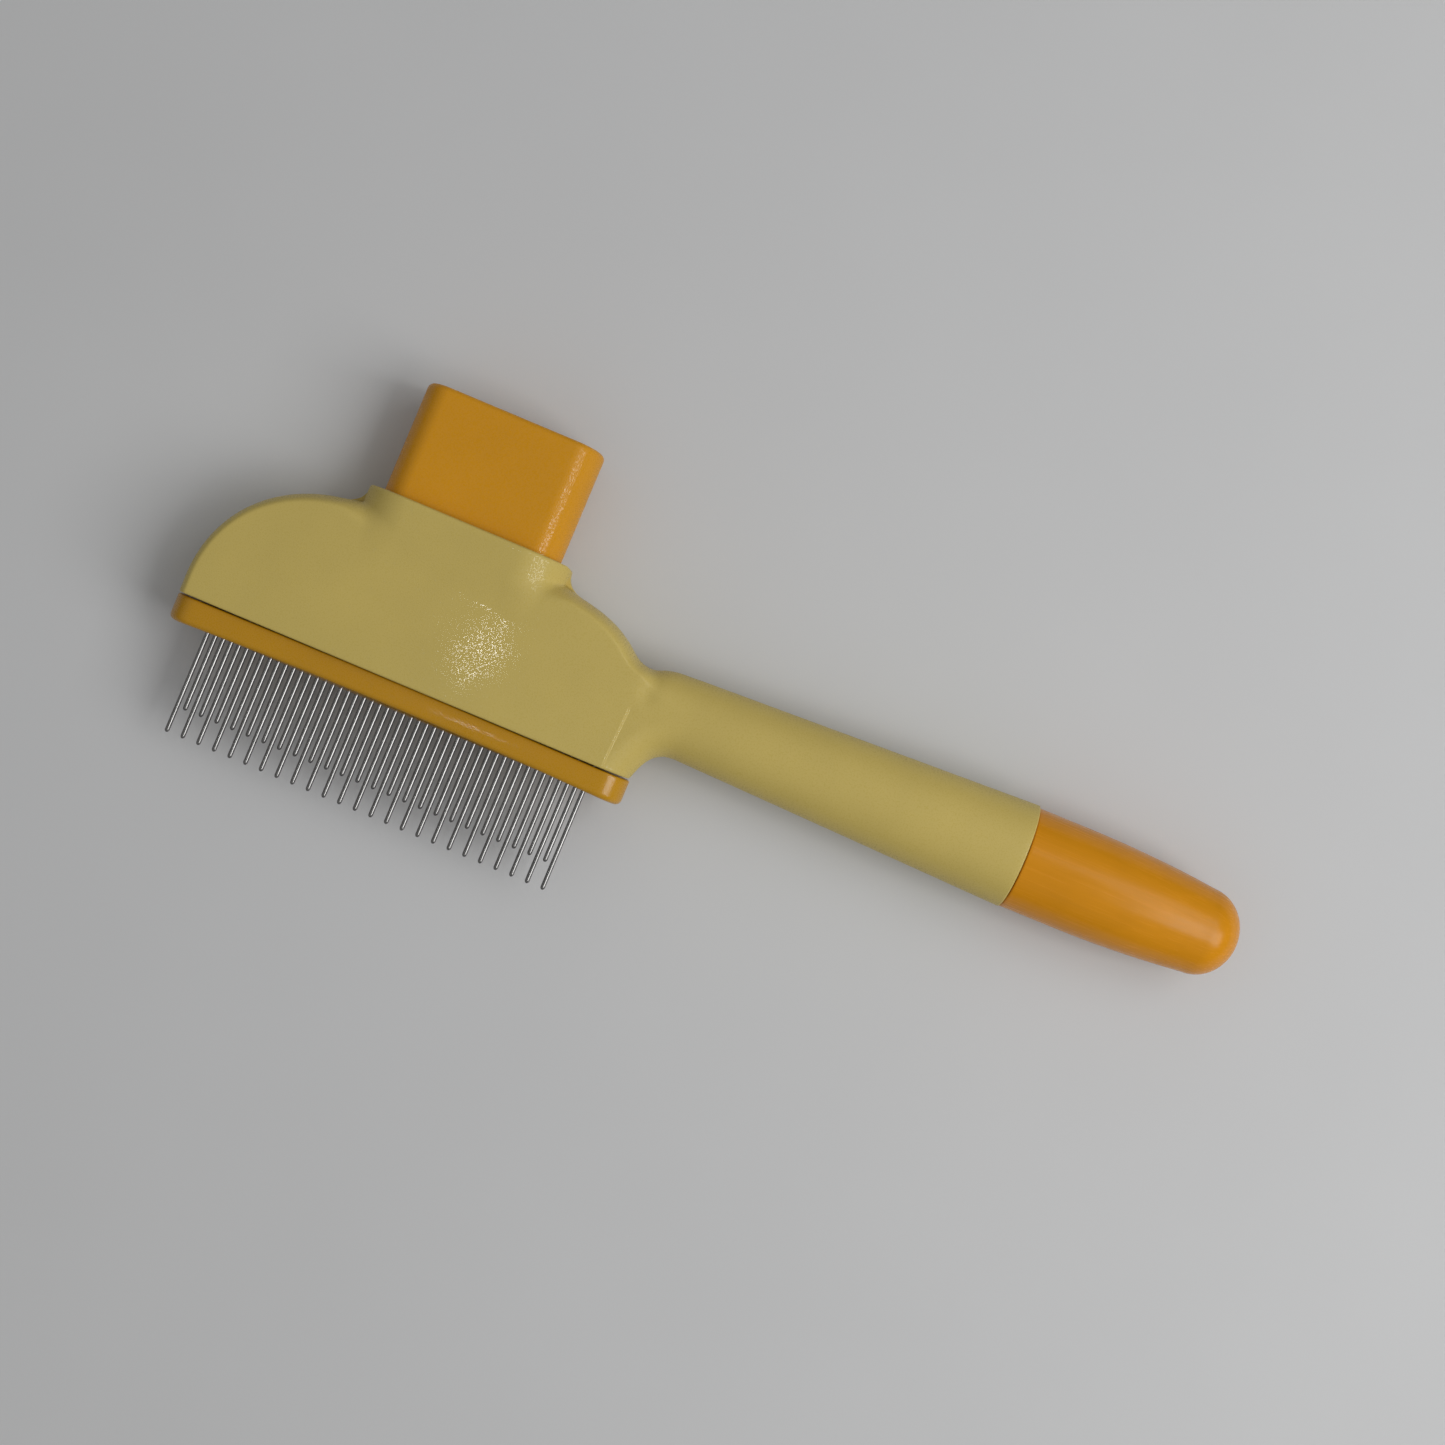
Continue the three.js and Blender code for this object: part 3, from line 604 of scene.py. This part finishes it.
# The bar hangs a little lower at its ends than in its middle, and is a little thicker at its top.
def stripping_bar():
    bottom = BAR_TOP - BAR_HEIGHT

    def section(inset, y):
        half = BAR_HALF_THICKNESS + BAR_DRAFT * (y - BAR_TOP)
        points = stadium(BAR_HALF_LENGTH - inset, half - inset, BAR_END_ROUND - inset, 12, 60)
        bow = mix(BAR_LOW_BOW, BAR_TOP_BOW, (y - bottom) / BAR_HEIGHT)
        placed = ring(points, y - bow * (points[:, 0] / BAR_HALF_LENGTH) ** 2)
        return placed + np.array([BAR_CENTRE_X, 0, 0])

    turns = np.linspace(0, np.pi / 2, 8)
    rings = [section(BAR_TOP_ROUND + 0.3, BAR_TOP)]
    for angle in turns[::-1]:
        inset = BAR_TOP_ROUND * (1 - math.cos(angle))
        rings.append(section(inset, BAR_TOP - BAR_TOP_ROUND * (1 - math.sin(angle))))
    rings.append(section(0, (BAR_TOP + bottom) / 2))
    for angle in turns:
        inset = BAR_LOW_ROUND * (1 - math.cos(angle))
        rings.append(section(inset, bottom + BAR_LOW_ROUND * (1 - math.sin(angle))))
    rings.append(section(BAR_LOW_ROUND + 0.3, bottom))
    bar = skin("stripping_bar", rings)
    cut(bar, bar_holes())
    shade(bar)
    return bar


def pin_mesh(tip):
    sides = 20
    angles = -np.arange(sides) / sides * 2 * np.pi
    circle = np.stack([np.cos(angles), np.sin(angles)], axis=-1)
    rings = [[(0, tip, MID)]]
    for angle in np.linspace(0, np.pi / 2, 8)[1:]:
        y = tip + PIN_TIP_LENGTH * (1 - math.cos(angle))
        rings.append(ring(circle * PIN_RADIUS * math.sin(angle), y))
    rings += [ring(circle * PIN_RADIUS, y) for y in (tip + 3, PIN_ROOT - 0.05, PIN_ROOT)]
    pin = skin("comb_pin", rings[::-1])
    shade(pin)
    return pin


def spring(name, x):
    sides = 12
    margin = SPRING_WIRE_RADIUS + SPRING_END_GAP
    t = np.linspace(0, 1, SPRING_TURNS * 24 + 1)
    full_angle = SPRING_TURNS * 2 * np.pi
    low, high = CARRIER_TOP + margin, SPRING_SEAT - margin
    pitch_angle = math.atan2(high - low, full_angle * SPRING_RADIUS)
    around = np.arange(sides) / sides * 2 * np.pi
    rings = []
    for angle, height in zip(t * full_angle, mix(low, high, t)):
        out = np.array([math.cos(angle), 0, math.sin(angle)])
        sideways = np.array([-math.sin(angle), 0, math.cos(angle)])
        forward = sideways * math.cos(pitch_angle) + np.array([0, math.sin(pitch_angle), 0])
        up = np.cross(forward, out)
        centre = np.array([x, height, MID]) + SPRING_RADIUS * out
        section = np.cos(around)[:, None] * out + np.sin(around)[:, None] * up
        rings.append(centre + SPRING_WIRE_RADIUS * section)
    made = skin(name, rings)
    shade(made, 50)
    return made


# Materials.
def node(tree, kind, inputs=None, **settings):
    made = tree.nodes.new(kind)
    for key, value in settings.items():
        setattr(made, key, value)
    for key, value in (inputs or {}).items():
        if isinstance(value, bpy.types.NodeSocket):
            tree.links.new(value, made.inputs[key])
        else:
            made.inputs[key].default_value = value
    return made


# Coordinates in millimetres that stay with the piece.
def millimetres(tree, stretch=(1, 1, 1)):
    place = node(tree, "ShaderNodeTexCoord")
    scale = [s / MM for s in stretch]
    return node(tree, "ShaderNodeMapping", {"Vector": place.outputs["Object"], "Scale": scale}).outputs[0]


def noise(tree, where, size, detail=2.0, roughness=0.5):
    made = node(tree, "ShaderNodeTexNoise", {
        "Vector": where, "Scale": 1 / size, "Detail": detail, "Roughness": roughness})
    return made.outputs["Fac"]


def math_node(tree, operation, a, b):
    return node(tree, "ShaderNodeMath", {0: a, 1: b}, operation=operation).outputs[0]


# A weighted mean of two values.
def blend(tree, a, b, share):
    return math_node(
        tree, "ADD", math_node(tree, "MULTIPLY", a, 1 - share), math_node(tree, "MULTIPLY", b, share))


def span(tree, value, low, high, to_low, to_high):
    return node(tree, "ShaderNodeMapRange", {
        "Value": value, "From Min": low, "From Max": high, "To Min": to_low, "To Max": to_high}).outputs[0]


def ramp(tree, factor, *stops):
    made = node(tree, "ShaderNodeValToRGB", {"Fac": factor})
    elements = made.color_ramp.elements
    while len(elements) < len(stops):
        elements.new(0.5)
    for element, (position, colour) in zip(elements, stops):
        element.position = position
        element.color = (*colour, 1)
    return made.outputs[0]


def bump(tree, height, strength, distance, normal=None):
    inputs = {"Height": height, "Strength": strength, "Distance": distance * MM}
    if normal is not None:
        inputs["Normal"] = normal
    return node(tree, "ShaderNodeBump", inputs).outputs[0]


def scaled(colour, amount):
    return tuple(c * amount for c in colour)


def new_material(name, slot_colour):
    material = bpy.data.materials.new(name)
    material.use_nodes = True
    material.diffuse_color = (*slot_colour, 1)
    return material, material.node_tree, material.node_tree.nodes["Principled BSDF"]


# Moulded plastic with an etched grain: small smooth plateaus between rough hollows.
def grained_plastic(name, colour, grain, depth, smooth_share, roughness, specular=0.5):
    material, tree, shader = new_material(name, colour)
    where = millimetres(tree)
    cloud = noise(tree, where, 14, 3)
    grit = noise(tree, where, grain, 2, 0.55)
    edge = 0.62 - 0.24 * smooth_share
    plateau = span(tree, grit, edge - 0.06, edge, 0.0, 1.0)
    polish = span(tree, grit, edge - 0.005, edge + 0.01, *roughness)
    tone = blend(tree, cloud, grit, 0.3)
    base = ramp(tree, tone, (0.3, scaled(colour, 0.96)), (0.7, scaled(colour, 1.04)))
    tree.links.new(base, shader.inputs["Base Color"])
    tree.links.new(polish, shader.inputs["Roughness"])
    hollow = bump(tree, plateau, 1.0, depth)
    waves = bump(tree, noise(tree, where, 2.2, 1), 1.0, 0.002, hollow)
    tree.links.new(waves, shader.inputs["Normal"])
    shader.inputs["Specular IOR Level"].default_value = specular
    return material


# Satin plastic with fine streaks along X.
def streaked_plastic(name, colour, roughness, specular):
    material, tree, shader = new_material(name, colour)
    streak = noise(tree, millimetres(tree, (0.03, 1, 1)), 0.5, 3, 0.6)
    cloud = noise(tree, millimetres(tree), 11, 2)
    tone = blend(tree, cloud, streak, 0.5)
    base = ramp(tree, tone, (0.3, scaled(colour, 0.93)), (0.7, scaled(colour, 1.07)))
    tree.links.new(base, shader.inputs["Base Color"])
    wear = span(tree, streak, 0.3, 0.7, roughness - 0.05, roughness + 0.05)
    tree.links.new(wear, shader.inputs["Roughness"])
    fine = bump(tree, noise(tree, millimetres(tree), 0.4, 2), 1.0, 0.004)
    lines = bump(tree, streak, 1.0, 0.006, fine)
    tree.links.new(lines, shader.inputs["Normal"])
    shader.inputs["Specular IOR Level"].default_value = specular
    return material


# Steel wire that has been drawn through a die: fine lines along its length.
def drawn_steel(name, colour, roughness, line_axis):
    material, tree, shader = new_material(name, colour)
    stretch = [0.05 if axis == line_axis else 1 for axis in range(3)]
    line = noise(tree, millimetres(tree, stretch), 0.12, 2)
    cloud = noise(tree, millimetres(tree), 5, 2)
    base = ramp(tree, cloud, (0.3, scaled(colour, 0.9)), (0.7, scaled(colour, 1.06)))
    tree.links.new(base, shader.inputs["Base Color"])
    wear = span(tree, line, 0.3, 0.7, roughness - 0.06, roughness + 0.08)
    tree.links.new(wear, shader.inputs["Roughness"])
    tree.links.new(bump(tree, line, 1.0, 0.0002), shader.inputs["Normal"])
    shader.inputs["Metallic"].default_value = 1.0
    return material


# Pale paper with a faint tooth.
def paper(name, colour):
    material, tree, shader = new_material(name, colour)
    where = millimetres(tree)
    base = ramp(tree, noise(tree, where, 60, 3), (0.3, scaled(colour, 0.99)), (0.7, scaled(colour, 1.01)))
    tree.links.new(base, shader.inputs["Base Color"])
    tree.links.new(bump(tree, noise(tree, where, 0.8, 3), 1.0, 0.01), shader.inputs["Normal"])
    shader.inputs["Roughness"].default_value = 0.9
    shader.inputs["Specular IOR Level"].default_value = 0.1
    return material


PALE = (0.6, 0.46, 0.12)
BUTTON_ORANGE = (0.68, 0.30, 0.004)
BAR_ORANGE = (0.535, 0.262, 0.003)
CAP_ORANGE = (0.68, 0.268, 0.006)
STEEL = (0.255, 0.25, 0.245)

MATERIALS = {
    "pale_plastic": grained_plastic(
        "moulded_pale_plastic", PALE,
        grain=0.3, depth=0.0068, smooth_share=0.26, roughness=(0.6, 0.06)),
    "button_plastic": grained_plastic(
        "grained_orange_plastic", BUTTON_ORANGE,
        grain=0.31, depth=0.0075, smooth_share=0.36, roughness=(0.6, 0.08), specular=0.4),
    "bar_plastic": grained_plastic(
        "glossy_orange_plastic", BAR_ORANGE,
        grain=0.27, depth=0.003, smooth_share=0.3, roughness=(0.32, 0.07)),
    "cap_plastic": streaked_plastic(
        "satin_orange_plastic", CAP_ORANGE,
        roughness=0.25, specular=0.25),
    "inner_plastic": grained_plastic(
        "inner_moulding", scaled(PALE, 0.8),
        grain=0.5, depth=0.01, smooth_share=0.4, roughness=(0.6, 0.3), specular=0.4),
    "pin_steel": drawn_steel("bright_pin_steel", STEEL, roughness=0.2, line_axis=1),
    "spring_steel": drawn_steel("spring_wire_steel", scaled(STEEL, 1.3), roughness=0.28, line_axis=1),
}


def dress(piece, body, slot, *nodes):
    piece.data.materials.clear()
    piece.data.materials.append(MATERIALS[slot])
    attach(piece, body)
    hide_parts(*nodes)


FRONT, REAR = shells()
dress(FRONT, "housing", "pale_plastic", "front_shell")
dress(REAR, "housing", "pale_plastic", "rear_shell")
dress(end_cap(), "housing", "cap_plastic", "end_cap")
dress(thumb_button(), "ejector", "button_plastic", "push_button")
dress(stripping_bar(), "ejector", "bar_plastic", "stripper_bar")

PIN_MESHES = {True: pin_mesh(LONG_PIN_TIP), False: pin_mesh(SHORT_PIN_TIP)}
for index in range(PIN_COUNT):
    is_long = index % 2 == 0
    number = f"{index // 2 + 1:02d}"
    kind = "long" if is_long else "short"
    pin = bpy.data.objects.new(f"steel_{kind}_pin_{number}", PIN_MESHES[is_long].data)
    pin.location.x = pin_x(index) * MM
    bpy.context.scene.collection.objects.link(pin)
    dress(pin, "housing", "pin_steel", f"{kind}_pin_{number}")
for made in PIN_MESHES.values():
    bpy.data.objects.remove(made)

for side_name, side in (("left", -1), ("right", 1)):
    coil = spring(f"coil_spring_{side_name}", side * SPRING_X)
    dress(coil, "housing", "spring_steel", f"return_spring_{side_name}")
    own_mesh(coil)

for name in ("push_frame", "pin_carrier"):
    slot = "button_plastic" if name == "push_frame" else "inner_plastic"
    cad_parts[name].material_slots[0].material = MATERIALS[slot]


# Stage, camera and lights.
def row_point(x, y, z):
    return Vector(np.array([x, y, z]) * MM + SHIFT)


def stage_floor():
    half = 2500
    corners = [(-half, -half, 0), (half, -half, 0), (half, half, 0), (-half, half, 0)]
    floor = mesh_object("studio_floor", corners, [(0, 1, 2, 3)])
    floor.data.materials.append(paper("pale_paper", (0.635, 0.638, 0.641)))


def area_light(name, place, target, width, height, power):
    data = bpy.data.lights.new(name, "AREA")
    data.shape = "RECTANGLE"
    data.size = width * MM
    data.size_y = height * MM
    data.energy = power
    light = bpy.data.objects.new(name, data)
    light.location = row_point(*place)
    light.rotation_euler = (row_point(*target) - light.location).to_track_quat("-Z", "Y").to_euler()
    bpy.context.scene.collection.objects.link(light)


# A camera straight above the tool, turned so that the handle points down to the right.
def camera():
    data = bpy.data.cameras.new("camera")
    data.sensor_fit = "HORIZONTAL"
    data.angle = math.radians(37.95)
    data.clip_end = 20
    made = bpy.data.objects.new("camera", data)
    made.location = row_point(60.5, 2.0, MID + 416)
    made.rotation_euler = (0, 0, math.radians(22.8))
    bpy.context.scene.collection.objects.link(made)
    bpy.context.scene.camera = made


stage_floor()
camera()
area_light("ceiling_lamp", (-145, -170, 1480), (20, -5, 10), width=42, height=60, power=0.1)
area_light("right_softbox", (640, -20, 600), (60, 0, 10), width=420, height=560, power=3.2)
area_light("handle_softbox", (430, 300, 620), (80, 0, 10), width=360, height=360, power=0.75)


# Soft fill: bright at middle heights, darker at the horizon and straight overhead.
def room_light():
    world = bpy.data.worlds.new("soft_room")
    world.use_nodes = True
    tree = world.node_tree
    direction = node(tree, "ShaderNodeTexCoord").outputs["Generated"]
    height = node(tree, "ShaderNodeSeparateXYZ", {0: direction}).outputs["Z"]
    stops = [(0.0, 0.05), (0.35, 0.17), (0.62, 0.37), (0.84, 0.38), (0.95, 0.28), (1.0, 0.26)]
    colour = ramp(tree, height, *[(position, (level,) * 3) for position, level in stops])
    tree.links.new(colour, tree.nodes["Background"].inputs["Color"])
    tree.nodes["Background"].inputs["Strength"].default_value = 1.0
    bpy.context.scene.world = world


room_light()

bpy.context.scene.view_settings.view_transform = "Standard"
